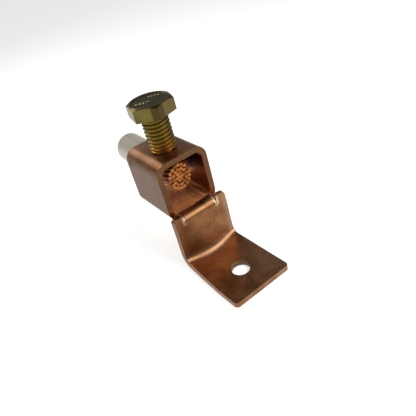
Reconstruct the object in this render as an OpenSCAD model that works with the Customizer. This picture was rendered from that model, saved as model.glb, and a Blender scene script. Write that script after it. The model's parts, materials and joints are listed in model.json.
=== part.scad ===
// Copper box lug used as a ground clamp: a square tube whose floor runs on as a bent tang with one
// fixing hole, a hex clamp bolt through the tube's roof, and a stub of stranded cable under the bolt.
// Millimetres. Origin: centre of the tang's fixing hole, on the tang's underside. +Z up, along the
// bolt; +Y from the tang towards the cable; +X across the tang.

/* [Box] */
// Thickness of the copper, everywhere
wall = 2.6; // [1.8:0.1:3.2]
// Width of the square tube, outside
box_w = 25.6; // [24:0.2:34]
// Height of the square tube, outside
box_h = 28.4; // [26:0.2:36]
// Length of the square tube
box_len = 27.2; // [22:0.2:36]
// Outer radius of the tube's four long edges
box_corner_r = 5.5; // [4:0.1:7]

/* [Tang] */
// Width of the flattened tang
tang_w = 29.5; // [26:0.5:36]
// Fixing hole's centre to the tang's free end
tang_reach = 14.5; // [10:0.5:24]
// Diameter of the fixing hole
hole_d = 8.2; // [5:0.1:12]
// Radius of the tang's two end corners
tang_corner_r = 1.8; // [0.5:0.1:4]
// Fixing hole's centre to the mouth of the tube
mouth_y = 25.9; // [20:0.1:36]
// Tang's underside to the tube's underside
box_rise = 22.3; // [16:0.1:32]

/* [Drop between tube and tang] */
// Width of the drop plate
drop_w = 28.6; // [22:0.2:36]
// Width of the floor strip left between the two torn corner reliefs
neck_w = 18; // [12:0.5:22]
// Mouth of the tube to the drop plate's front face, at its top bend
drop_lead = 4; // [3.6:0.1:6]
// Lean of the drop plate from upright
drop_lean = 3; // [0:0.5:12]
// Inner radius of the bend at the top of the drop
top_bend_r = 0.6; // [0.3:0.1:1]
// Inner radius of the bend from the drop into the tang
low_bend_r = 4.5; // [2:0.1:7]
// Height of the drop plate's two ears above the tube's underside
ear_rise = 4.1; // [2.8:0.1:6]

/* [Clamp bolt] */
// Major diameter of the bolt's thread
bolt_d = 12; // [8:1:14]
// Length of the bolt under its head
bolt_len = 22.6; // [18:0.1:32]
// Width of the hex head across its flats
head_af = 18; // [13:0.5:22]
// Height of the hex head
head_h = 6.3; // [4:0.1:9]
// Mouth of the tube to the bolt's axis
bolt_in = 12.5; // [10:0.1:18]
// Turn of the hex head about the bolt's axis
head_turn = 18.4; // [0:0.1:60]
// Radial clearance of the bolt in the roof's threaded hole
thread_gap = 0.05; // [0.02:0.01:0.1]

/* [Cable] */
// Diameter of one copper strand
strand_d = 1.78; // [1.3:0.02:1.8]
// Outer diameter of the insulation
jacket_d = 15.6; // [13:0.1:16]
// Whole length of the cable stub
cable_len = 61.6; // [40:0.2:90]
// Bare conductor left between the bolt's shank and the insulation
bare_past = 1.2; // [0.6:0.1:4]
// Mouth of the tube to the front end of the conductor
cable_in = 4.7; // [0:0.1:8]
// Conductor's front end, right of the tube's middle
cable_x = 0.2; // [-1:0.1:1]
// Conductor's front end, above the middle of the tube's bore
cable_up = 1.6; // [0:0.1:2]
// Gap between the insulation and the tube's right wall, where the cable leans towards it
cable_gap = 0.15; // [0.1:0.05:1]
// Fall of the cable, going back
cable_tilt = 4.6; // [0:0.1:6]
// Lay lengths of the inner, middle and outer strand layers
lay = [80, 120, 160]; // [60:10:240]

/* [Hidden] */
LAYERS = [6, 12, 18];
STRANDS = 37;
function two_digits(n) = n < 10 ? str("0", n) : str(n);
function strand_name(n) = str("strand_", two_digits(n));
$fn = 64;

COPPER = "peru";
STRAND_COPPER = "darkorange";
YELLOW_ZINC = "darkkhaki";
CREAM_PVC = "ivory";

cut = 1;              // how far a cutter runs past what it cuts
joint_gap = 0.1;      // between the bolt's tip and the strands under it
strand_fill = 0.97;   // drawn strand diameter over the pitch of the strands
slice_turn = 14;      // most that a strand turns from one slice to the next
tip_share = 0.8;      // bolt's tip diameter over its thread's diameter
chamfer_share = 0.96; // circle left by the head's chamfer over the width across its flats

// Box
floor_z = box_rise + wall;
roof_z = box_rise + box_h;
bolt_y = mouth_y + bolt_in;
inner_r = box_corner_r - wall;

// Drop and bends, seen from the side: y forward is negative
top_out_r = top_bend_r + wall;
top_c = [mouth_y - drop_lead + top_out_r, floor_z - top_out_r];
low_c_z = wall + low_bend_r;
front_y = top_c[0] - top_out_r * cos(drop_lean);
front_z = top_c[1] + top_out_r * sin(drop_lean);
drop_s = (front_z + low_bend_r * sin(drop_lean) - low_c_z) / cos(drop_lean);
low_c = [front_y - drop_s * sin(drop_lean) - low_bend_r * cos(drop_lean), low_c_z];
ear_s = (box_rise + ear_rise - front_z) / cos(drop_lean);

// Cable: its front end, the turn that brings its jacket up to the right wall at the back of the
// tube, and the height of the strands' top under the bolt
conductor_r = (2 * len(LAYERS) + 1) * strand_d / 2;
bare_len = bolt_in + bolt_d / 2 + bare_past - cable_in;
side_room = box_w / 2 - wall - cable_gap - cable_x;
in_box = box_len - cable_in;
cable_yaw = acos(jacket_d / 2 / norm([side_room, in_box])) - atan2(in_box, side_room);
cable_front = [cable_x, mouth_y + cable_in, box_rise + box_h / 2 + cable_up];
tip_d = tip_share * bolt_d;
strands_top_z = cable_front[2] + conductor_r / cos(cable_tilt)
    - max(0, bolt_in - tip_d / 2 - cable_in) * tan(cable_tilt);

// Bolt, from its tip upwards
tip_z = strands_top_z + joint_gap;
tip_h = (bolt_d - tip_d) / 2;
seat_z = tip_z + bolt_len;
chamfer_r = chamfer_share * head_af / 2;

module rounded_rect(w, h, r) {
    square([w - 2 * r, h], center = true);
    square([w, h - 2 * r], center = true);
    for (sx = [-1, 1], sz = [-1, 1])
        translate([sx * (w / 2 - r), sz * (h / 2 - r)]) circle(r);
}

// Lays a shape drawn in (y, z) across the part, w wide and centred
module across(w) {
    translate([-w / 2, 0, 0]) rotate([90, 0, 90]) linear_extrude(w) children();
}

module box() {
    translate([0, mouth_y + box_len, box_rise + box_h / 2]) rotate([90, 0, 0]) linear_extrude(box_len)
        difference() {
            rounded_rect(box_w, box_h, box_corner_r);
            rounded_rect(box_w - 2 * wall, box_h - 2 * wall, inner_r);
        }
}

// A slice of a ring about the origin, from angle a0 to a1, less than half a turn
module ring_slice(r_in, r_out, a0, a1) {
    reach = 2 * r_out;
    mid = (a0 + a1) / 2;
    intersection() {
        difference() {
            circle(r_out);
            circle(r_in);
        }
        polygon([[0, 0], reach * [cos(a0), sin(a0)], reach * [cos(mid), sin(mid)],
                 reach * [cos(a1), sin(a1)]]);
    }
}

module drop_slab(from_s, to_s) {
    translate([front_y, front_z]) rotate(-drop_lean)
        translate([0, -to_s]) square([wall, to_s - from_s]);
}

// Floor strip and the bend that turns it down out of the mouth
module neck() {
    across(neck_w) {
        translate([top_c[0], box_rise]) square([mouth_y - top_c[0] + wall, wall]);
        translate(top_c) ring_slice(top_bend_r, top_out_r, 90, 180 - drop_lean);
    }
}

module drop() {
    across(drop_w) {
        drop_slab(-ear_s, drop_s);
        translate(low_c) ring_slice(low_bend_r, low_bend_r + wall, -90, -drop_lean);
    }
}

// Clears the ears' plate where the floor strip comes through it
module neck_relief() {
    translate([-neck_w / 2, front_y - cut, front_z])
        cube([neck_w, top_c[0] - front_y + cut, ear_rise + box_h]);
}

module tang() {
    tang_end = -tang_reach;
    difference() {
        union() {
            translate([-tang_w / 2, tang_end + tang_corner_r, 0])
                cube([tang_w, low_c[0] - tang_end - tang_corner_r, wall]);
            translate([-tang_w / 2 + tang_corner_r, tang_end, 0])
                cube([tang_w - 2 * tang_corner_r, 2 * tang_corner_r, wall]);
            for (sx = [-1, 1])
                translate([sx * (tang_w / 2 - tang_corner_r), tang_end + tang_corner_r, 0])
                    cylinder(r = tang_corner_r, h = wall);
        }
        translate([0, 0, -cut]) cylinder(d = hole_d, h = wall + 2 * cut);
    }
}

module clamp_body() {
    color(COPPER) difference() {
        union() {
            box();
            neck();
            difference() {
                drop();
                neck_relief();
            }
            tang();
        }
        translate([0, bolt_y, roof_z - wall - cut])
            cylinder(r = bolt_d / 2 + thread_gap, h = wall + 2 * cut);
    }
}

// Hex head and threaded shank; the thread is drawn at its major diameter
module clamp_bolt() {
    color(YELLOW_ZINC) translate([0, bolt_y, 0]) {
        translate([0, 0, tip_z + tip_h]) cylinder(d = bolt_d, h = bolt_len - tip_h);
        intersection() {
            translate([0, 0, seat_z]) rotate(head_turn)
                cylinder(d = head_af / cos(30), h = head_h, $fn = 6);
            translate([0, 0, seat_z]) cylinder(r1 = chamfer_r + head_h / tan(30),
                r2 = chamfer_r, h = head_h);
        }
    }
}

// Bevelled point of the bolt
module bolt_tip() {
    color(YELLOW_ZINC) translate([0, bolt_y, tip_z]) cylinder(d1 = tip_d, d2 = bolt_d, h = tip_h);
}

// Puts a shape drawn along +Z from the origin onto the cable's own axis
module on_cable() {
    translate(cable_front) rotate([0, 0, -cable_yaw]) rotate([-90 - cable_tilt, 0, 0]) children();
}

module cable_jacket() {
    color(CREAM_PVC) on_cable() translate([0, 0, bare_len]) difference() {
        cylinder(d = jacket_d, h = cable_len - bare_len);
        translate([0, 0, -cut]) cylinder(r = conductor_r, h = cable_len - bare_len + 2 * cut);
    }
}

// Strand n of the conductor: 1 is the core, then each layer in turn, laid the other way to the last
module strand(n) {
    layer = n == 1 ? 0 : n <= 1 + LAYERS[0] ? 1 : n <= 1 + LAYERS[0] + LAYERS[1] ? 2 : 3;
    d = strand_fill * strand_d;
    color(STRAND_COPPER) on_cable()
        if (layer == 0) cylinder(d = d, h = cable_len);
        else {
            first = layer == 1 ? 2 : layer == 2 ? 2 + LAYERS[0] : 2 + LAYERS[0] + LAYERS[1];
            turn = (layer == 2 ? -1 : 1) * 360 * cable_len / lay[layer - 1];
            linear_extrude(height = cable_len, twist = turn, slices = ceil(abs(turn) / slice_turn),
                $fn = 8)
                rotate(360 * (n - first) / LAYERS[layer - 1])
                    translate([layer * strand_d, 0]) circle(d = d);
        }
}

clamp_body();
clamp_bolt();
bolt_tip();
cable_jacket();
for (n = [1:STRANDS]) strand(n);
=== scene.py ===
import json
import math
import random

import bmesh
import bpy
from mathutils import Euler, Matrix, Vector


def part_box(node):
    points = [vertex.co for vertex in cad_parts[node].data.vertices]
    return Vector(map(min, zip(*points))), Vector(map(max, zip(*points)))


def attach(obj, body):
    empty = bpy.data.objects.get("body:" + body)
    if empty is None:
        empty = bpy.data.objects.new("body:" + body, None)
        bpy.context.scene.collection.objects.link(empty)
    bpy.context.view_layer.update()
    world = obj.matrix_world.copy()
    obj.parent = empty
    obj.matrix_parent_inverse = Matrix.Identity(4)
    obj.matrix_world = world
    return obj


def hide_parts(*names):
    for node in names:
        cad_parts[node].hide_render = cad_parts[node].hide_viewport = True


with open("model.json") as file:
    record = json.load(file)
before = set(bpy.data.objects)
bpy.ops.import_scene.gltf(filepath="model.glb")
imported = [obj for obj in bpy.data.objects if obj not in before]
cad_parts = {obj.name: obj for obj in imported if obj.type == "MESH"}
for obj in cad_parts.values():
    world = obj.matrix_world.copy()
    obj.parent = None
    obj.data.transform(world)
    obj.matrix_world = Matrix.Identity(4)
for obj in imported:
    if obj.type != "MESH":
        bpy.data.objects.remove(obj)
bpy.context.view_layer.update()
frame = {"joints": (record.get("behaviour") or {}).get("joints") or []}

mm = 0.001


# ---- small helpers for working by hand ----

def deselectAll():
    if bpy.context.mode != "OBJECT":
        bpy.ops.object.mode_set(mode="OBJECT")
    bpy.ops.object.select_all(action="DESELECT")


def takeNew(name):
    made = bpy.context.object
    made.name = made.data.name = name
    return made


def only(piece):
    deselectAll()
    piece.select_set(True)
    bpy.context.view_layer.objects.active = piece


def edit(piece):
    only(piece)
    bpy.ops.object.mode_set(mode="EDIT")


def done():
    bpy.ops.object.mode_set(mode="OBJECT")


def pick(kind, test):
    # selects the faces, edges or points of the mesh in edit mode that pass the test
    bpy.ops.mesh.select_mode(type=kind)
    bpy.ops.mesh.select_all(action="DESELECT")
    mesh = bmesh.from_edit_mesh(bpy.context.edit_object.data)
    parts = {"FACE": mesh.faces, "EDGE": mesh.edges, "VERT": mesh.verts}[kind]
    count = 0
    for part in parts:
        if not part.hide and test(part):
            part.select_set(True)
            count += 1
    mesh.select_flush_mode()
    bmesh.update_edit_mesh(bpy.context.edit_object.data)
    return count


def middle(part):
    points = [v.co for v in part.verts]
    return sum(points, Vector()) / len(points)


def near(a, b, slack=0.02 * mm):
    return abs(a - b) < slack


def applyAll(piece):
    only(piece)
    for modifier in list(piece.modifiers):
        bpy.ops.object.modifier_apply(modifier=modifier.name)


def settle(piece):
    # puts the piece's place, turn and scale into its mesh
    only(piece)
    bpy.ops.object.transform_apply(location=True, rotation=True, scale=True)


def addModifier(piece, kind, **settings):
    modifier = piece.modifiers.new(kind.title(), kind)
    for setting, value in settings.items():
        setattr(modifier, setting, value)
    return modifier


def cutWith(piece, tool, operation="DIFFERENCE"):
    addModifier(piece, "BOOLEAN", operation=operation, object=tool, solver="EXACT")
    applyAll(piece)
    bpy.data.objects.remove(tool)


def smoothBy(piece, degrees):
    only(piece)
    bpy.ops.object.shade_smooth_by_angle(angle=math.radians(degrees))


def evenNormals(piece):
    addModifier(piece, "WEIGHTED_NORMAL", keep_sharp=True, weight=60)
    applyAll(piece)


def cleanMesh(piece):
    edit(piece)
    bpy.ops.mesh.select_all(action="SELECT")
    bpy.ops.mesh.remove_doubles(threshold=0.002 * mm)
    bpy.ops.mesh.dissolve_degenerate(threshold=0.001 * mm)
    bpy.ops.mesh.normals_make_consistent(inside=False)
    done()


def showPiece(piece, finish, body, slot, *nodes):
    piece.data.materials.clear()
    piece.data.materials.append(finish)
    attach(piece, body)
    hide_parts(*nodes)


# ---- shader writing ----

class Wire:
    # one output socket, with sums written as sums
    def __init__(self, finish, socket):
        self.finish, self.socket = finish, socket

    def sum(self, operation, a, b):
        return self.finish.add("ShaderNodeMath", {"operation": operation}, {0: a, 1: b})

    def __add__(self, other):
        return self.sum("ADD", self, other)

    def __radd__(self, other):
        return self.sum("ADD", other, self)

    def __sub__(self, other):
        return self.sum("SUBTRACT", self, other)

    def __rsub__(self, other):
        return self.sum("SUBTRACT", other, self)

    def __mul__(self, other):
        return self.sum("MULTIPLY", self, other)

    def __rmul__(self, other):
        return self.sum("MULTIPLY", other, self)

    def __truediv__(self, other):
        return self.sum("DIVIDE", self, other)


class Finish:
    def __init__(self, name, **constants):
        self.material = bpy.data.materials.new(name)
        self.material.use_nodes = True
        self.tree = self.material.node_tree
        self.skin = self.tree.nodes["Principled BSDF"]
        for socket, value in constants.items():
            self.skin.inputs[socket.replace("_", " ")].default_value = value
        self.place = self.add("ShaderNodeTexCoord", {}, {}, "Object")

    def add(self, kind, settings, values, out=0):
        node = self.tree.nodes.new(kind)
        for setting, value in settings.items():
            if setting == "stops":
                ramp = node.color_ramp
                while len(ramp.elements) < len(value):
                    ramp.elements.new(0.5)
                for element, (position, colour) in zip(ramp.elements, value):
                    element.position, element.color = position, (*colour, 1)
            else:
                setattr(node, setting, value)
        for socket, value in values.items():
            self.feed(node.inputs[socket], value)
        return Wire(self, node.outputs[out])

    def feed(self, socket, value):
        if isinstance(value, Wire):
            self.tree.links.new(value.socket, socket)
        elif socket.type == "RGBA" and len(value) == 3:
            socket.default_value = (*value, 1)
        else:
            socket.default_value = value

    def noise(self, scale, detail=3, rough=0.55, place=None, stretch=0):
        return self.add("ShaderNodeTexNoise", {},
                        {"Vector": place or self.place, "Scale": scale, "Detail": detail,
                         "Roughness": rough, "Distortion": stretch}, "Fac")

    def moved(self, scale=(1, 1, 1), turn=(0, 0, 0), shift=(0, 0, 0), place=None):
        return self.add("ShaderNodeMapping", {},
                        {"Vector": place or self.place, "Location": shift,
                         "Rotation": [math.radians(a) for a in turn], "Scale": scale})

    def step(self, value, low, high, bottom=0.0, top=1.0):
        # a soft step from bottom to top as value goes from low to high
        return self.add("ShaderNodeMapRange", {"interpolation_type": "SMOOTHSTEP"},
                        {"Value": value, "From Min": low, "From Max": high,
                         "To Min": bottom, "To Max": top})

    def blend(self, share, a, b, mode="MIX"):
        # index 0 is the factor, 6 and 7 are the two colours of a colour mix
        return self.add("ShaderNodeMix", {"data_type": "RGBA", "blend_type": mode},
                        {0: share, 6: a, 7: b}, 2)

    def axes(self, place=None):
        node = self.add("ShaderNodeSeparateXYZ", {}, {0: place or self.place}).socket.node
        return [Wire(self, node.outputs[k]) for k in range(3)]

    def distance(self, point, place=None):
        return self.add("ShaderNodeVectorMath", {"operation": "DISTANCE"},
                        {0: place or self.place, 1: point}, "Value")

    def size(self, value):
        return self.add("ShaderNodeMath", {"operation": "ABSOLUTE"}, {0: value})

    def bump(self, height, strength, depth, normal=None):
        values = {"Height": height, "Strength": strength, "Distance": depth}
        if normal:
            values["Normal"] = normal
        return self.add("ShaderNodeBump", {}, values)

    def show(self, **surface):
        for socket, value in surface.items():
            self.feed(self.skin.inputs[socket.replace("_", " ")], value)
        return self.material


# ---- camera ----

cameraSetup = {
    "place": (-0.07184, -0.11841, 0.13179),
    "azimuth": -28.46, "elevation": 34.36, "roll": -15.38,
    "lens": 37.5,
}


def makeCamera():
    turn, rise = math.radians(cameraSetup["azimuth"]), math.radians(cameraSetup["elevation"])
    back = Vector((math.sin(turn) * math.cos(rise), -math.cos(turn) * math.cos(rise), math.sin(rise)))
    deselectAll()
    bpy.ops.object.camera_add(location=cameraSetup["place"])
    camera = takeNew("camera")
    aim = (-back).to_track_quat("-Z", "Y").to_matrix()
    camera.rotation_euler = (aim @ Matrix.Rotation(math.radians(cameraSetup["roll"]), 3, "Z")).to_euler()
    camera.data.lens = cameraSetup["lens"]
    camera.data.clip_start, camera.data.clip_end = 0.005, 50
    bpy.context.scene.camera = camera
    print("camera set")


makeCamera()


# ---- clamp body: a square tube whose floor runs on as a bent and drilled tang ----

bodySizes = {
    "wall": 2.6 * mm,
    "tubeWidth": 25.6 * mm, "tubeHeight": 28.4 * mm, "tubeLength": 27.2 * mm,
    "cornerRadius": 5.5 * mm, "cornerSteps": 8,
    "neckSteps": 2,             # steps of each lower corner that stay with the neck
    "dropLead": 4 * mm, "lean": 3,
    "topBend": 1.3 * mm, "lowBend": 4.5 * mm, "bendSteps": 10, "dropRows": 6,
    "dropHalf": 14.3 * mm, "sideSteps": 3,
    "curl": 1.35 * mm,          # how far the drop's edges stand forward of its middle
    # the low bend bows: moves of its middle and of its ends, and how far the metal round them follows
    "bowMiddle": -1.7 * mm, "bowEnds": 0.9 * mm, "bowReach": 15 * mm,
    "earTop": 4.1 * mm, "earCorner": 1.3 * mm, "tear": 0.12 * mm,
    # rows that flatten the dish along the tang: length in mm, and the share of the dish that is left
    "tangRows": ((1.5, 0.92), (1.5, 0.9), (1.5, 0.88), (1.5, 0.85), (2, 0.8), (2, 0.75), (2.5, 0.6),
                 (3, 0.5), (3, 0)),
    "tangCorner": 1.8 * mm,
    "hole": 4.1 * mm, "holeFlare": 0.35 * mm,
    "edge": 0.32 * mm, "edgeAngle": 40, "edgeSteps": 3,
    "holeRoom": 7 * mm,         # edges nearer a hole's axis than this stay sharp
}


def pull(x, y, z):
    bpy.ops.mesh.extrude_region_move(TRANSFORM_OT_translate={"value": (x, y, z)})


def cutAcross(place, along):
    bpy.ops.mesh.select_all(action="SELECT")
    bpy.ops.mesh.bisect(plane_co=place, plane_no=along, threshold=0.0001 * mm)


def bendRow(centre, degrees, steps):
    # spin turns against the right-hand rule, so the angle's sign is changed
    bpy.ops.mesh.spin(steps=steps, angle=math.radians(-degrees), center=(0, *centre), axis=(1, 0, 0))


def bodySheet():
    size = bodySizes
    low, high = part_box("clamp_body")
    lean = math.radians(size["lean"])
    mouth, floorZ = high.y - size["tubeLength"], high.z - size["tubeHeight"]
    halfFlat = size["tubeWidth"] / 2 - size["cornerRadius"]
    deselectAll()
    centre = (0, mouth + size["tubeLength"] / 2, floorZ + size["tubeHeight"] / 2)
    bpy.ops.mesh.primitive_cube_add(size=1, location=centre,
                                    scale=(size["tubeWidth"], size["tubeLength"], size["tubeHeight"]))
    body = takeNew("clamp_body_copper")
    settle(body)
    edit(body)
    pick("FACE", lambda f: abs(f.normal.y) > 0.9)
    bpy.ops.mesh.delete(type="FACE")
    pick("EDGE", lambda e: near(e.verts[0].co.x, e.verts[1].co.x)
         and near(e.verts[0].co.z, e.verts[1].co.z))
    bpy.ops.mesh.bevel(offset=size["cornerRadius"], offset_type="OFFSET", segments=size["cornerSteps"],
                       profile=0.5, affect="EDGES")
    for share in (-0.5, 0, 0.5):
        cutAcross((share * halfFlat, 0, 0), (1, 0, 0))

    # the neck: the floor's front edge and the start of each corner, pulled out of the mouth
    arc = math.radians(90 * size["neckSteps"] / size["cornerSteps"])
    neckHalf = halfFlat + size["cornerRadius"] * math.sin(arc)
    topCentre = (mouth - size["dropLead"] + size["topBend"] + size["wall"], floorZ - size["topBend"])
    pick("EDGE", lambda e: all(near(v.co.y, mouth) and abs(v.co.x) < neckHalf + 0.1 * mm
                               and v.co.z < floorZ + size["wall"] for v in e.verts))
    pull(0, topCentre[0] - mouth, 0)
    # the row is dished, so that the bends carry the dish down the drop
    dish = lambda x: size["curl"] * (x / size["dropHalf"]) ** 2
    columns = [share * halfFlat for share in (0.5, 1)]
    columns += [halfFlat + size["cornerRadius"] * math.sin(arc * k / size["neckSteps"])
                for k in range(1, size["neckSteps"] + 1)]
    for column in columns:
        pick("VERT", lambda v: near(v.co.y, topCentre[0]) and near(abs(v.co.x), column)
             and v.co.z < floorZ + size["wall"])
        height = next(v.co.z for v in bmesh.from_edit_mesh(body.data).verts if v.select)
        bpy.ops.transform.translate(value=(0, 0, floorZ + dish(column) - height))
    pick("EDGE", lambda e: all(near(v.co.y, topCentre[0]) and v.co.z < floorZ + size["wall"]
                               for v in e.verts))
    bendRow(topCentre, 90 - size["lean"], size["bendSteps"])

    # the drop is wider than the neck: the row's two end points are pulled outwards
    rowZ = topCentre[1] + size["topBend"] * math.sin(lean)
    sideStep = (size["dropHalf"] - neckHalf) / size["sideSteps"]
    inRow = lambda v: topCentre[1] < v.co.z < topCentre[1] + 0.13 * mm and v.co.y < topCentre[0] - 0.9 * mm
    for side in (-1, 1):
        pick("VERT", lambda v: inRow(v) and near(v.co.x, side * neckHalf, 0.05 * mm))
        for k in range(size["sideSteps"]):
            at = neckHalf + k * sideStep
            pull(side * sideStep, dish(at) - dish(at + sideStep), 0)

    # the ears stand up beside the neck
    earRise = floorZ + size["earTop"] - rowZ
    pick("EDGE", lambda e: all(inRow(v) and abs(v.co.x) > neckHalf - 0.05 * mm for v in e.verts))
    pull(0, earRise * math.tan(lean), earRise)
    pick("VERT", lambda v: v.co.z > floorZ + size["earTop"] - 0.1 * mm and v.co.y < mouth - 0.5 * mm
         and abs(v.co.x) < neckHalf + 0.1 * mm)
    bpy.ops.transform.resize(value=(1 + size["tear"] / neckHalf, 1, 1), center_override=(0, 0, 0))

    # the drop, the low bend and the tang
    lowCentreZ = size["wall"] + size["lowBend"]
    outer = size["lowBend"] + size["wall"]
    drop = rowZ - (lowCentreZ - outer * math.sin(lean))
    backY = topCentre[0] - size["topBend"] * math.cos(lean) - drop * math.tan(lean)
    lowCentre = (backY - outer * math.cos(lean), lowCentreZ)
    pick("EDGE", lambda e: all(inRow(v) for v in e.verts))
    rows = size["dropRows"]
    for k in range(rows):
        pull(0, -drop * math.tan(lean) / rows, -drop / rows)
    bendRow(lowCentre, size["lean"] - 90, size["bendSteps"])
    y = lowCentre[0]
    widen = (high.x / size["dropHalf"]) ** (1 / len(size["tangRows"]))
    for length, flatter in size["tangRows"]:
        y -= length * mm
        pull(0, -length * mm, 0)
        bpy.ops.transform.resize(value=(widen, 1, flatter), center_override=(0, y, 0))
    pull(0, low.y - y, 0)
    bpy.ops.transform.resize(value=(1, 0, 1), center_override=(0, low.y, 0))
    inBend = lambda v: lowCentre[0] - 1 * mm < v.co.y < mouth and v.co.z < lowCentre[1] + 0.5 * mm
    for inner, outer, move in ((0, 0.1 * mm, size["bowMiddle"]),
                               (size["dropHalf"] - 0.1 * mm, high.x, size["bowEnds"])):
        pick("VERT", lambda v: inBend(v) and inner <= abs(v.co.x) < outer)
        bpy.ops.transform.translate(value=(0, move, 0), use_proportional_edit=True,
                                    proportional_edit_falloff="SMOOTH", proportional_size=size["bowReach"])
    done()
    return body


def holeTool(place, radius, bottom, top, flare):
    # a round cutter that opens out at both faces of the wall
    deselectAll()
    x, y = place
    bpy.ops.mesh.primitive_cylinder_add(vertices=96, radius=radius, depth=top - bottom - 2 * flare,
                                        location=(x, y, (top + bottom) / 2))
    tool = takeNew("holeTool")
    settle(tool)
    edit(tool)
    for side, face in ((-1, bottom), (1, top)):
        pick("FACE", lambda f: f.normal.z * side > 0.9)
        pull(0, 0, side * flare)
        share = 1 + flare / radius
        bpy.ops.transform.resize(value=(share, share, 1), center_override=(x, y, face))
        pull(0, 0, side * flare)
        bpy.ops.transform.resize(value=(share, share, 1), center_override=(x, y, face))
    done()
    return tool


def makeBody():
    size = bodySizes
    low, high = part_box("clamp_body")
    mouth, floorZ = high.y - size["tubeLength"], high.z - size["tubeHeight"]
    body = bodySheet()
    edit(body)
    bpy.ops.mesh.select_all(action="SELECT")
    bpy.ops.mesh.normals_make_consistent(inside=False)
    done()
    under = [p for p in body.data.polygons if near(p.center.z, floorZ) and p.center.y > mouth]
    if under[0].normal.z > 0:
        edit(body)
        bpy.ops.mesh.select_all(action="SELECT")
        bpy.ops.mesh.flip_normals()
        done()
    addModifier(body, "SOLIDIFY", thickness=size["wall"], offset=-1, use_even_offset=True)
    applyAll(body)

    # corners of the tang and of the ears
    edit(body)
    pick("EDGE", lambda e: all(abs(abs(v.co.x) - high.x) < 0.1 * mm and near(v.co.y, low.y, 0.1 * mm)
                               for v in e.verts))
    bpy.ops.mesh.bevel(offset=size["tangCorner"], segments=6, affect="EDGES")
    pick("EDGE", lambda e: all(abs(v.co.x) > size["dropHalf"] - 0.6 * mm
                               and v.co.z > floorZ + size["earTop"] - 0.5 * mm
                               and v.co.y < mouth - 0.5 * mm for v in e.verts)
         and abs(e.verts[0].co.y - e.verts[1].co.y) > size["wall"] / 2)
    bpy.ops.mesh.bevel(offset=size["earCorner"], segments=5, affect="EDGES")
    done()
    cutWith(body, holeTool((0, 0), size["hole"], 0, size["wall"], size["holeFlare"]))
    # the roof's hole is tapped with the bolt's own thread, a little larger
    through = 0.5 * mm
    cutWith(body, threadedRod("tap", boltSizes["tapRoom"], high.z - size["wall"] - through,
                              high.z + through))
    room = size["holeRoom"]
    atTangHole = lambda spot: abs(spot.x) < room and abs(spot.y) < room
    atRoofHole = lambda spot: (abs(spot.x) < room and abs(spot.y - boltAxis.y) < room
                               and spot.z > high.z - size["wall"] - 1 * mm)
    edit(body)
    pick("EDGE", lambda e: e.calc_face_angle(0) > math.radians(size["edgeAngle"])
         and not atTangHole(middle(e)) and not atRoofHole(middle(e)))
    bpy.ops.mesh.bevel(offset=size["edge"], segments=size["edgeSteps"], affect="EDGES", clamp_overlap=True)
    done()
    smoothBy(body, size["edgeAngle"])
    evenNormals(body)
    return body


# ---- clamp bolt: hex head, washer face and a right-hand M12 thread with a bevelled point ----

boltSizes = {
    "pitch": 1.75 * mm, "major": 5.97 * mm, "minor": 4.95 * mm, "threadSteps": 64,
    "headHeight": 6.3 * mm, "headAcross": 18 * mm, "headTurn": 18.4,
    "chamferCircle": 8.64 * mm, "chamferAngle": 30,
    "washerFace": 8.1 * mm, "washerRise": 0.35 * mm,
    "dishRim": 0.5 * mm, "dishSlope": 0.5 * mm, "dishDepth": 0.45 * mm,
    "headEdge": 0.22 * mm,
    "tapRoom": 0.05 * mm,
    "markTurn": -34, "markHeight": 0.3 * mm, "markEdge": 0.12 * mm,
    # each mark: along the row, across the row, length, width
    "marks": ((-4.9, -2.3, 1.6, 0.65), (-3.4, -2.0, 0.65, 1.7), (-2.0, -2.0, 0.65, 1.7),
              (-0.4, -1.6, 1.5, 0.65),
              (-0.2, 4.0, 0.6, 1.5), (1.1, 4.0, 0.6, 1.5), (2.5, 4.3, 1.3, 0.6), (3.9, 3.9, 0.6, 1.5)),
}
boltLow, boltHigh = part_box("clamp_bolt")
tipZ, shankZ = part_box("bolt_tip")[0].z, boltLow.z
boltAxis = (boltLow + boltHigh) / 2
seatZ = boltHigh.z - boltSizes["headHeight"]


def pullLine(name, start, steps):
    # a line of points, pulled out one step after another from a single point
    deselectAll()
    bpy.ops.mesh.primitive_plane_add(size=1 * mm, location=start)
    line = takeNew(name)
    edit(line)
    bpy.ops.mesh.select_mode(type="VERT")
    bpy.ops.mesh.select_all(action="SELECT")
    bpy.ops.mesh.merge(type="CENTER")
    for step in steps:
        pull(*step)
    done()
    return line


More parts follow.
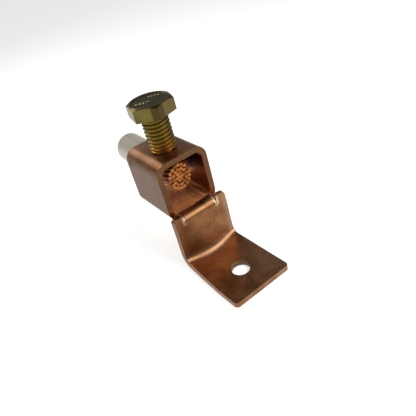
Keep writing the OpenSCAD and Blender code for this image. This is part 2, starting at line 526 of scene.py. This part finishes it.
def threadedRod(name, grow, bottom, top):
    # one pitch of the thread's outline, turned up the bolt's axis; grow is extra radius
    size = boltSizes
    pitch, depth = size["pitch"], size["major"] - size["minor"]
    run = depth * math.tan(math.radians(30))
    crest = pitch / 8
    soft = crest / 3
    root = pitch - crest - 2 * run
    turns = math.ceil((boltHigh.z - tipZ) / pitch) + 3
    start = (boltAxis.x, boltAxis.y, tipZ - 2 * pitch)
    steps = [(size["minor"] + grow, 0, 0), (-soft / 2, 0, root / 2), (soft / 2, 0, root / 2),
             (depth - soft / 2, 0, run - soft / 4), (soft / 2, 0, soft), (0, 0, crest - 1.5 * soft),
             (-soft / 2, 0, soft), (-depth + soft / 2, 0, run - soft / 4)]
    rod = pullLine(name, start, steps)
    edit(rod)
    pick("VERT", lambda v: v.co.length < size["minor"] / 2)
    bpy.ops.mesh.delete(type="VERT")
    done()
    addModifier(rod, "SCREW", axis="Z", angle=math.radians(360), screw_offset=pitch, iterations=turns,
                steps=size["threadSteps"], render_steps=size["threadSteps"])
    applyAll(rod)
    settle(rod)
    cleanMesh(rod)
    edit(rod)
    for z, up in ((bottom, -1), (top, 1)):
        bpy.ops.mesh.select_all(action="SELECT")
        bpy.ops.mesh.bisect(plane_co=(0, 0, z), plane_no=(0, 0, up), use_fill=True, clear_outer=True,
                            threshold=0.0001 * mm)
    done()
    cleanMesh(rod)
    return rod


def roundTool(name, radius, bottom, top, sides=96, turn=0):
    deselectAll()
    bpy.ops.mesh.primitive_cylinder_add(vertices=sides, radius=radius, depth=top - bottom,
                                        location=(boltAxis.x, boltAxis.y, (bottom + top) / 2),
                                        rotation=(0, 0, math.radians(turn)))
    tool = takeNew(name)
    settle(tool)
    return tool


def makeBolt():
    size = boltSizes
    # the head: a hexagon whose top corners a 30 degree cone takes off
    corner = size["headAcross"] / 2 / math.cos(math.radians(30))
    bolt = roundTool("clamp_bolt_steel", corner, seatZ + size["washerRise"], boltHigh.z + 1 * mm, 6,
                     size["headTurn"] - 30)
    slope = math.tan(math.radians(size["chamferAngle"]))
    coneDepth = 4 * mm
    cone = roundTool("headCone", size["chamferCircle"], boltHigh.z - coneDepth, boltHigh.z, 128)
    edit(cone)
    pick("FACE", lambda f: f.normal.z < -0.9)
    wide = 1 + coneDepth / slope / size["chamferCircle"]
    bpy.ops.transform.resize(value=(wide, wide, 1),
                             center_override=(boltAxis.x, boltAxis.y, boltHigh.z - coneDepth))
    pull(0, 0, -2 * coneDepth)
    done()
    cutWith(bolt, cone, "INTERSECT")
    edit(bolt)
    pick("FACE", lambda f: f.normal.z > 0.99 and middle(f).z > boltHigh.z - 0.1 * mm)
    bpy.ops.mesh.inset(thickness=size["dishRim"])
    bpy.ops.mesh.inset(thickness=size["dishSlope"])
    bpy.ops.transform.translate(value=(0, 0, -size["dishDepth"]))
    done()
    cutWith(bolt, roundTool("washerFace", size["washerFace"], seatZ, seatZ + 1 * mm), "UNION")
    addModifier(bolt, "BEVEL", width=size["headEdge"], segments=2, limit_method="ANGLE",
                angle_limit=math.radians(28))
    applyAll(bolt)

    # plain raised bars and dots on the head, in two rows
    floor = boltHigh.z - size["dishDepth"]
    turn = math.radians(size["markTurn"])
    for along, across, length, width in size["marks"]:
        x = boltAxis.x + (along * math.cos(turn) - across * math.sin(turn)) * mm
        y = boltAxis.y + (along * math.sin(turn) + across * math.cos(turn)) * mm
        deselectAll()
        bpy.ops.mesh.primitive_cube_add(size=1, location=(x, y, floor), rotation=(0, 0, turn),
                                        scale=(length * mm, width * mm, 2 * size["markHeight"]))
        mark = takeNew("mark")
        settle(mark)
        edit(mark)
        bpy.ops.mesh.select_all(action="SELECT")
        bpy.ops.mesh.bevel(offset=size["markEdge"], segments=2, affect="EDGES")
        done()
        cutWith(bolt, mark, "UNION")

    shank = threadedRod("shank", 0, tipZ, seatZ + 1 * mm)
    clear = 0.6 * mm
    point = roundTool("point", size["major"] + clear, shankZ + clear, seatZ + 2 * mm)
    edit(point)
    pick("FACE", lambda f: f.normal.z < -0.9)
    fall = shankZ + clear - tipZ
    pull(0, 0, -fall)
    share = 1 - fall / (size["major"] + clear)
    bpy.ops.transform.resize(value=(share, share, 1), center_override=(boltAxis.x, boltAxis.y, tipZ))
    done()
    cutWith(shank, point, "INTERSECT")
    cutWith(bolt, shank, "UNION")
    cleanMesh(bolt)
    smoothBy(bolt, 38)
    evenNormals(bolt)
    return bolt


bolt = makeBolt()
print("clamp bolt", len(bolt.data.polygons))

body = makeBody()
print("clamp body", len(body.data.polygons))


# ---- cable: 37 wires in four layers, each layer wound the other way, and the jacket on them ----

cableSizes = {
    # fill and full: wire diameters over their spacing, of the plain core wire's box and of the drawn wires
    "wire": 1.78 * mm, "fill": 0.97, "full": 0.995,
    "layers": (6, 12, 18), "lay": (80 * mm, 120 * mm, 160 * mm),
    "wireSides": 14, "turnPerStep": 5, "cutEdge": 0.07 * mm, "uneven": 0.45 * mm, "slant": 0.2,
    "jacket": 7.8 * mm, "jacketWall": 1.57 * mm, "jacketEdge": 0.35 * mm,
}
cableDirection = Vector(next(j["axis"] for j in frame["joints"] if j["name"] == "cable_pull")).normalized()


def cableLine():
    # the cable's two ends, from the straight core wire's box
    low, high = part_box("strand_01")
    radius = cableSizes["wire"] * cableSizes["fill"] / 2
    inset = [radius * math.sqrt(1 - d * d) for d in cableDirection]
    front = Vector([low[k] + inset[k] if cableDirection[k] > 0 else high[k] - inset[k] for k in range(3)])
    length = (high.y - inset[1] - front.y) / cableDirection.y
    return front, length


cableFront, cableLength = cableLine()


# the turn that lays the Z axis on the cable's own line
cableTurn = Euler((math.radians(-90) - math.asin(-cableDirection.z), 0,
                   -math.atan2(cableDirection.x, cableDirection.y)))


def layOnCable(piece):
    # the piece is modelled up from the origin along Z
    piece.rotation_euler = cableTurn
    piece.location = cableFront
    settle(piece)


def makeWire(name, radius, place, turn, frontCut, backCut):
    size = cableSizes
    deselectAll()
    bpy.ops.mesh.primitive_circle_add(vertices=size["wireSides"], radius=radius, location=(0, 0, frontCut))
    wire = takeNew(name)
    wire.data.transform(Matrix.Translation((place, 0, 0)))
    steps = max(2, math.ceil(abs(turn) / size["turnPerStep"]))
    length = cableLength - frontCut - backCut
    addModifier(wire, "SCREW", axis="Z", angle=math.radians(turn), screw_offset=length, iterations=1,
                steps=steps, render_steps=steps)
    applyAll(wire)
    edit(wire)
    for end in (0, length):
        pick("EDGE", lambda e: all(near(v.co.z, end) for v in e.verts))
        bpy.ops.mesh.edge_face_add()
        bpy.ops.mesh.inset(thickness=size["cutEdge"])
        bpy.ops.transform.translate(value=(0, 0, size["cutEdge"] / 2 * (-1 if end == 0 else 1)))
    done()
    cleanMesh(wire)
    smoothBy(wire, 35)
    return wire


def makeWires():
    size = cableSizes
    dice = random.Random(37)
    radius = size["wire"] / 2 * size["full"]
    reach = len(size["layers"]) * size["wire"]
    wires = []
    number = 1
    for layer, count in enumerate((1, *size["layers"])):
        turn = 0 if layer == 0 else 360 * cableLength / size["lay"][layer - 1] * (-1 if layer % 2 else 1)
        for k in range(count):
            front, back = (size["cutEdge"] / 2 + dice.uniform(0, size["uneven"]) for end in range(2))
            # the front was cut a little aslant, so the wires on the right end further back
            front += size["slant"] * (reach + layer * size["wire"] * math.cos(2 * math.pi * k / count))
            wire = makeWire(f"wire_{number:02d}", radius, layer * size["wire"], turn, front, back)
            wire.rotation_euler.z = math.radians(360 * k / count)
            settle(wire)
            layOnCable(wire)
            wires.append(wire)
            number += 1
    return wires


def makeJacket():
    size = cableSizes
    low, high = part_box("cable_jacket")
    frontY = low.y + size["jacket"] * math.sqrt(1 - cableDirection.y ** 2)
    start = (frontY - cableFront.y) / cableDirection.y
    deselectAll()
    bpy.ops.mesh.primitive_cylinder_add(vertices=96, radius=size["jacket"], depth=cableLength - start,
                                        location=(0, 0, (cableLength + start) / 2), end_fill_type="NOTHING")
    jacket = takeNew("cable_jacket_pvc")
    settle(jacket)
    addModifier(jacket, "SOLIDIFY", thickness=size["jacketWall"], offset=-1)
    addModifier(jacket, "BEVEL", width=size["jacketEdge"], segments=3, limit_method="ANGLE",
                angle_limit=math.radians(40))
    applyAll(jacket)
    layOnCable(jacket)
    smoothBy(jacket, 40)
    evenNormals(jacket)
    return jacket


wires = makeWires()
jacket = makeJacket()
print("cable", len(wires), "wires,", round(cableLength / mm, 1), "mm")


# ---- finishes ----

copperLook = {
    "brown": (0.33, 0.16, 0.072), "dark": (0.20, 0.088, 0.036), "pale": (0.50, 0.31, 0.19),
    # the bore's colours: its wall colour is cleaner orange metal painted dark, with painted shade and a
    # painted orange bounce glow; its floor colour is a painted pool of light
    # the side walls' grey colour is a painted sheen of the side light
    "sideSheenGrey": (0.165, 0.112, 0.086), "inside": (0.36, 0.09, 0.012), "paintedLitFloor": (0.95, 0.36, 0.12),
    "rim": (0.085, 0.04, 0.018), "fresh": (0.98, 0.70, 0.45), "shade": (0.085, 0.04, 0.02),
    # the hole's wall colour is painted shade
    "bronze": (0.48, 0.27, 0.10), "paintedHoleShade": (0.06, 0.028, 0.012), "green": (0.045, 0.078, 0.05),
    "soot": (0.05, 0.03, 0.02),
    # noise scales; the clouds are so many times larger than the blotches
    "blotch": 150, "cloudSize": 2.6, "grain": 1100, "speck": 620, "torn": 700, "along": 260, "across": 240,
    # how strongly each layer covers what is under it
    "cloudShare": 0.35, "boreShare": 0.9, "rimShare": 0.85, "cornerGlowShare": 0.8, "edgeSheenShare": 0.55,
    "shadeShare": 0.6, "bronzeShare": 0.6, "stainShare": 0.6, "holeShare": 0.8, "speckShare": 0.75,
    "scratchShare": 0.4, "lineShare": 0.6, "greenShare": 0.7, "grainShare": 0.38,
    "roughness": 0.27, "bumpStrength": 0.35, "bumpDepth": 0.09 * mm,
    # green spots: place and radius
    "verdigris": (((-12.6, 49.2, 46.0), 2.2), ((-12.7, 28.3, 45.6), 1.3), ((-11.2, 47.0, 50.2), 0.9)),
}


def copperFinish():
    look, size = copperLook, bodySizes
    copper = Finish("browned copper", Metallic=1.0)
    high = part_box("clamp_body")[1]
    mouth, floorZ = high.y - size["tubeLength"], high.z - size["tubeHeight"]
    half, wall = size["tubeWidth"] / 2, size["wall"]
    x, y, z = copper.axes()
    wide = copper.size(x)
    fromMouth = copper.size(y - mouth)
    blotch = copper.noise(look["blotch"], 4, 0.6, stretch=0.4)
    cloud = copper.noise(look["blotch"] / look["cloudSize"], 2, 0.5, copper.moved(shift=(0.3, 0.1, 0.2)))
    grain = copper.noise(look["grain"], 3, 0.6)
    along = copper.noise(look["along"], 4, 0.7, copper.moved(scale=(6, 0.35, 1), turn=(0, 0, 12)))
    across = copper.noise(look["across"], 4, 0.7, copper.moved(scale=(0.4, 7, 1), turn=(0, 0, -20)))

    colour = copper.blend(copper.step(blotch, 0.36, 0.66), look["dark"], look["brown"])
    colour = copper.blend(copper.step(cloud, 0.45, 0.72) * look["cloudShare"], colour, look["pale"])
    # the tube's side walls are painted greyer, a painted grey sheen of the side light; its bore is cleaner
    # and more orange, and carries painted light
    tube = copper.step(y, mouth - 0.1 * mm, mouth + 0.3 * mm) \
        * copper.step(z, floorZ + 1 * mm, floorZ + 5 * mm)
    side = copper.step(wide, half - 1.0 * mm, half - 0.1 * mm) * tube
    colour = copper.blend(side * (0.75 + 0.25 * grain), colour, look["sideSheenGrey"])
    bore = copper.step(wide, half - wall + 0.25 * mm, half - wall + 0.05 * mm) \
        * copper.step(z, high.z - wall + 0.25 * mm, high.z - wall + 0.05 * mm) \
        * copper.step(y, mouth + 0.4 * mm, mouth + 1.5 * mm) \
        * copper.step(z, floorZ + 1 * mm, floorZ + 2 * mm)
    # painted light in the bore: its walls are cleaner orange metal painted dark, painted shade with a
    # painted orange bounce glow; its floor is painted bright, a painted pool of light
    low = copper.step(z, floorZ + wall + 1.6 * mm, floorZ + wall + 0.4 * mm)
    boreMetalAndPaintedLight = copper.blend(low, look["inside"], look["paintedLitFloor"])
    colour = copper.blend(bore * look["boreShare"], colour, boreMetalAndPaintedLight)
    rim = copper.step(fromMouth, 0.3 * mm, 0.1 * mm) * copper.step(z, floorZ + 4 * mm, floorZ + 8 * mm)
    colour = copper.blend(rim * look["rimShare"], colour, look["rim"])
    # fresh metal where the floor strip was torn out of the corners; a painted orange glow of bounce light
    # on the low corners' saw cut
    inProfile = copper.add("ShaderNodeCombineXYZ", {}, {0: 0, 1: y, 2: z})
    torn = copper.step(copper.distance((0, mouth - 1.5 * mm, floorZ + 1.5 * mm), inProfile),
                       4.2 * mm, 2.8 * mm)
    notch = copper.step(wide, 8.0 * mm, 8.5 * mm) * copper.step(wide, 10.6 * mm, 9.6 * mm)
    colour = copper.blend(torn * notch * copper.step(grain, 0.3, 0.6, 0.55, 1), colour, look["fresh"])
    paintedCornerGlow = copper.step(fromMouth, 0.35 * mm, 0.15 * mm) \
        * copper.step(z, floorZ + 8 * mm, floorZ + 4 * mm) * copper.step(wide, 8 * mm, 9 * mm)
    colour = copper.blend(paintedCornerGlow * look["cornerGlowShare"], colour, look["inside"])
    # painted reflection: paler crescents at the drop's edges; and painted shade on a darker left part
    drop = copper.step(y, 19 * mm, 20.5 * mm) * copper.step(y, mouth - 0.5 * mm, mouth - 1.5 * mm)
    paintedEdgeSheen = drop * copper.step(wide + 4 * mm * cloud, 12.6 * mm, 14.6 * mm)
    colour = copper.blend(paintedEdgeSheen * look["edgeSheenShare"], colour, look["pale"])
    shaded = drop * copper.step(x + 5 * mm * cloud, 0.5 * mm, -9 * mm)
    colour = copper.blend(shaded * look["shadeShare"], colour, look["shade"])
    # bronze patches behind the hole
    patch = copper.step(copper.distance((-3 * mm, 7 * mm, wall)) + 7 * mm * grain, 10 * mm, 5 * mm)
    patch = patch * copper.step(blotch, 0.45, 0.58)
    colour = copper.blend(patch * look["bronzeShare"], colour, look["bronze"])
    # stains round the hole, fine specks, light scratches
    stain = copper.step(copper.distance((2 * mm, 2 * mm, wall)) + 5 * mm * blotch, 13 * mm, 6 * mm)
    stain = stain * copper.step(blotch, 0.5, 0.6)
    colour = copper.blend(stain * look["stainShare"], colour, look["dark"])
    inPlan = copper.add("ShaderNodeCombineXYZ", {}, {0: x, 1: y, 2: 0})
    # painted shade: the drilled hole's wall is painted near black
    inHole = copper.step(copper.distance((0, 0, 0), inPlan),
                         size["hole"] + 0.35 * mm, size["hole"] + 0.15 * mm)
    colour = copper.blend(inHole * look["holeShare"], colour, look["paintedHoleShade"])
    speck = copper.step(copper.noise(look["speck"], 2, 0.5, copper.moved(shift=(0.7, 0, 0))), 0.66, 0.72)
    colour = copper.blend(speck * look["speckShare"], colour, look["soot"])
    scratch = copper.step(along, 0.63, 0.70) + copper.step(across, 0.66, 0.73)
    colour = copper.blend(scratch * look["scratchShare"], colour, look["pale"])
    # a pale line and a nick on the roof by the mouth
    line = copper.step(copper.size(y - mouth - 1.1 * mm + 0.03 * x), 0.14 * mm, 0.05 * mm) \
        * copper.step(z, high.z - 0.4 * mm, high.z - 0.2 * mm) * copper.step(wide, 8.5 * mm, 7.5 * mm)
    colour = copper.blend(line * look["lineShare"], colour, look["pale"])
    fromNick = copper.distance((-1.2 * mm, mouth + 0.2 * mm, high.z))
    nick = copper.step(fromNick + 0.4 * mm * grain, 0.75 * mm, 0.5 * mm)
    colour = copper.blend(nick, colour, look["soot"])
    green = 0
    for place, radius in look["verdigris"]:
        spot = copper.distance([c * mm for c in place])
        ragged = spot + 2.8 * mm * blotch + 1.2 * mm * grain
        green = green + copper.step(ragged, radius * mm + 1.9 * mm, radius * mm + 0.6 * mm)
    colour = copper.blend(green * look["greenShare"], colour, look["green"])

    colour = copper.blend(copper.step(grain, 0.3, 0.7) * look["grainShare"], colour, look["dark"])
    rough = look["roughness"] + 0.22 * blotch + 0.12 * side - 0.05 * scratch + 0.3 * green \
        - 0.14 * bore + 0.25 * inHole
    burr = torn * notch * 1.5 * copper.noise(look["torn"], 2)
    height = 0.5 * grain + 0.8 * blotch - 0.5 * scratch - 2 * nick + burr
    bump = copper.bump(height, look["bumpStrength"], look["bumpDepth"])
    # the bore's floor and the hole's wall lose metal, so that their painted light and painted shade show
    metal = 1 - 0.7 * green - inHole - 0.6 * low * bore
    return copper.show(Base_Color=colour, Roughness=rough, Metallic=metal, Normal=bump)


zincLook = {
    "olive": (0.115, 0.085, 0.028), "green": (0.15, 0.135, 0.028), "orange": (0.55, 0.20, 0.03),
    "rose": (0.17, 0.105, 0.055), "dark": (0.055, 0.045, 0.026), "mark": (0.80, 0.64, 0.32),
    "brown": (0.055, 0.035, 0.012), "yellow": (0.25, 0.165, 0.03),
    "frontFlat": (-0.2, -0.98),     # the way the front flat faces
    "film": 75, "hue": 55, "grain": 1100, "soil": 300,
    "roseShare": 0.8, "shankShare": 0.7, "glowShare": 0.75, "frontShadeShare": 0.85, "soilShare": 0.3,
    "roughness": 0.24, "bumpStrength": 0.25, "bumpDepth": 0.05 * mm,
}


def zincFinish():
    look = zincLook
    zinc = Finish("yellow zinc", Metallic=1.0)
    x, y, z = zinc.axes()
    film = zinc.noise(look["film"], 2, 0.4, stretch=0.6)
    hue = zinc.noise(look["hue"], 2, 0.4, zinc.moved(shift=(0.2, 0.5, 0.1)), 0.5)
    grain = zinc.noise(look["grain"], 3, 0.6)
    colour = zinc.blend(zinc.step(film, 0.38, 0.62), look["olive"], look["green"])
    colour = zinc.blend(zinc.step(hue, 0.5, 0.68) * look["roseShare"], colour, look["rose"])
    # the shank is yellower, and orange just above the copper
    shank = zinc.step(z, seatZ + 0.2 * mm, seatZ - 0.4 * mm)
    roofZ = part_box("clamp_body")[1].z
    glow = shank * zinc.step(z, roofZ + 7 * mm, roofZ + 1 * mm) * zinc.step(film, 0.3, 0.6, 0.5, 1)
    colour = zinc.blend(shank * look["shankShare"], colour, look["yellow"])
    colour = zinc.blend(glow * look["glowShare"], colour, look["orange"])
    # painted shade: the flat at the front is painted browner and darker
    facing = (x - boltAxis.x) * look["frontFlat"][0] + (y - boltAxis.y) * look["frontFlat"][1]
    flat = boltSizes["headAcross"] / 2
    front = zinc.step(facing, flat - 0.25 * mm, flat - 0.05 * mm)
    colour = zinc.blend(front * look["frontShadeShare"], colour, look["brown"])
    # the head's sunken top is darker, and its raised marks are rubbed bright
    inPlan = zinc.add("ShaderNodeCombineXYZ", {}, {0: x, 1: y, 2: 0})
    radius = zinc.distance((boltAxis.x, boltAxis.y, 0), inPlan)
    rimInner = boltSizes["chamferCircle"] - boltSizes["dishRim"]
    sunk = zinc.step(radius, rimInner + 0.1 * mm, rimInner - 0.35 * mm) \
        * zinc.step(z, boltHigh.z - 1.2 * mm, boltHigh.z - 0.9 * mm)
    colour = zinc.blend(sunk * (0.75 + 0.25 * grain), colour, look["dark"])
    dishZ = boltHigh.z - boltSizes["dishDepth"]
    raised = sunk * zinc.step(z, dishZ + 0.12 * mm, dishZ + 0.24 * mm) \
        * zinc.step(radius, rimInner - 0.7 * mm, rimInner - 1.0 * mm)
    colour = zinc.blend(raised, colour, look["mark"])
    soil = zinc.step(zinc.noise(look["soil"], 4, 0.65), 0.6, 0.75)
    colour = zinc.blend(soil * look["soilShare"], colour, look["dark"])
    rough = look["roughness"] + 0.14 * film + 0.12 * sunk + 0.1 * soil
    bump = zinc.bump(0.5 * grain + soil, look["bumpStrength"], look["bumpDepth"])
    return zinc.show(Base_Color=colour, Roughness=rough, Normal=bump)


wireLook = {
    "bright": (0.50, 0.18, 0.05), "deep": (0.20, 0.065, 0.018), "side": (0.26, 0.10, 0.035),
    "cut": 1500, "tone": 420,
    "endNear": 7.5 * mm, "endFar": 9.5 * mm,    # how far from the front end's centre the fresh colour goes
    "roughness": 0.3, "bumpStrength": 0.3, "bumpDepth": 0.04 * mm,
}


def wireFinish():
    look = wireLook
    wire = Finish("bright copper wire", Metallic=1.0)
    cut = wire.noise(look["cut"], 3, 0.6, wire.moved(scale=(3, 1, 1)))
    tone = wire.noise(look["tone"], 2, 0.5)
    end = wire.distance(tuple(cableFront))
    front = wire.step(end, look["endFar"], look["endNear"])
    colour = wire.blend(wire.step(tone, 0.35, 0.65), look["deep"], look["bright"])
    colour = wire.blend(1 - front, colour, look["side"])
    rough = look["roughness"] + 0.2 * cut
    bump = wire.bump(cut, look["bumpStrength"], look["bumpDepth"])
    return wire.show(Base_Color=colour, Roughness=rough, Normal=bump)


jacketLook = {
    "cream": (0.46, 0.43, 0.34), "yellowed": (0.42, 0.375, 0.27), "print": (0.20, 0.20, 0.21),
    "soil": (0.35, 0.27, 0.18),
    # a printed line on the side that faces this way: its width, a dash's pitch, and dashes in a group
    "printSide": (-0.1, 0, 1), "printWidth": 0.9 * mm, "dash": 2.3 * mm, "group": 7.3,
    "cloudScale": 45, "grainScale": 1300, "wornScale": 380, "soilScale": 160,
    "yellowShare": 0.6, "printShare": 0.7, "soilShare": 0.16,
    "roughness": 0.34, "coat": 0.15, "bumpStrength": 0.15, "bumpDepth": 0.12 * mm,
}


def jacketFinish():
    look = jacketLook
    pvc = Finish("cream jacket", IOR=1.5, Coat_Roughness=0.15)
    # the cable's own frame: z runs along it from the front end
    onCable = cableTurn.to_matrix().inverted()
    shift = onCable @ -cableFront
    turn = onCable.to_euler()
    local = pvc.moved(turn=[math.degrees(a) for a in turn], shift=tuple(shift))
    x, y, z = pvc.axes(local)
    cloud = pvc.noise(look["cloudScale"], 3, 0.5)
    grain = pvc.noise(look["grainScale"], 2, 0.5)
    colour = pvc.blend(pvc.step(cloud, 0.4, 0.7) * look["yellowShare"], look["cream"], look["yellowed"])
    # a broken line of plain dashes printed along it
    aim = (onCable @ Vector(look["printSide"])).to_2d().normalized()
    off = x * aim.y - y * aim.x
    facing = x * aim.x + y * aim.y
    beat = pvc.add("ShaderNodeMath", {"operation": "FRACT"}, {0: z / look["dash"]})
    group = pvc.add("ShaderNodeMath", {"operation": "FRACT"}, {0: z / (look["group"] * look["dash"])})
    dashes = pvc.step(beat, 0.08, 0.16) * pvc.step(beat, 0.72, 0.62) * pvc.step(group, 0.72, 0.66)
    band = pvc.step(pvc.size(off), look["printWidth"] / 2 + 0.12 * mm, look["printWidth"] / 2) \
        * pvc.step(facing, 2 * mm, 4 * mm)
    worn = pvc.step(pvc.noise(look["wornScale"], 3, 0.6), 0.36, 0.56)
    colour = pvc.blend(band * dashes * worn * look["printShare"], colour, look["print"])
    soil = pvc.step(pvc.noise(look["soilScale"], 4, 0.6), 0.58, 0.78)
    colour = pvc.blend(soil * look["soilShare"], colour, look["soil"])
    bump = pvc.bump(0.3 * grain + cloud, look["bumpStrength"], look["bumpDepth"])
    return pvc.show(Base_Color=colour, Roughness=look["roughness"] + 0.12 * grain,
                    Coat_Weight=look["coat"] + 0.1 * cloud, Normal=bump)


showPiece(body, copperFinish(), "clamp", "copper", "clamp_body")
showPiece(bolt, zincFinish(), "bolt", "yellow_zinc", "clamp_bolt", "bolt_tip")
bareWire = wireFinish()
for number, wire in enumerate(wires, 1):
    showPiece(wire, bareWire, "cable", "strand_copper", f"strand_{number:02d}")
showPiece(jacket, jacketFinish(), "cable", "pvc", "cable_jacket")


# ---- floor and light ----

studio = {
    "floorHalf": 3.0, "floorDrop": 0.02 * mm, "floorColour": (0.93, 0.93, 0.925), "floorRough": 0.9,
    "floorGlow": 0.55, "aimAt": (0, 20 * mm, 30 * mm),
    "world": (1.0, 1.0, 1.0), "worldStrength": 0.26,
    # each light: place, size, power
    "lights": (((0.22, -0.32, 0.42), (0.34, 0.34), 2.0),
               ((-0.46, 0.02, 0.24), (0.22, 0.30), 0.45),
               ((-0.10, 0.45, 0.40), (0.40, 0.16), 0.6)),
}


def makeStudio():
    deselectAll()
    bpy.ops.mesh.primitive_plane_add(size=2 * studio["floorHalf"], location=(0, 0, -studio["floorDrop"]))
    ground = takeNew("studio_floor")
    paper = Finish("pale paper", Roughness=studio["floorRough"], Base_Color=(*studio["floorColour"], 1),
                   Emission_Color=(1, 1, 1, 1), Emission_Strength=studio["floorGlow"])
    ground.data.materials.append(paper.material)
    aimAt = Vector(studio["aimAt"])
    for place, (width, height), power in studio["lights"]:
        deselectAll()
        bpy.ops.object.light_add(type="AREA", location=place)
        lamp = takeNew("softbox")
        lamp.rotation_euler = (aimAt - Vector(place)).to_track_quat("-Z", "Y").to_euler()
        lamp.data.shape = "RECTANGLE"
        lamp.data.size, lamp.data.size_y, lamp.data.energy = width, height, power
    world = bpy.data.worlds.new("pale room")
    bpy.context.scene.world = world
    world.use_nodes = True
    sky = world.node_tree.nodes["Background"]
    sky.inputs["Color"].default_value = (*studio["world"], 1)
    sky.inputs["Strength"].default_value = studio["worldStrength"]
    bpy.context.scene.view_settings.view_transform = "Standard"


makeStudio()
print("studio set")
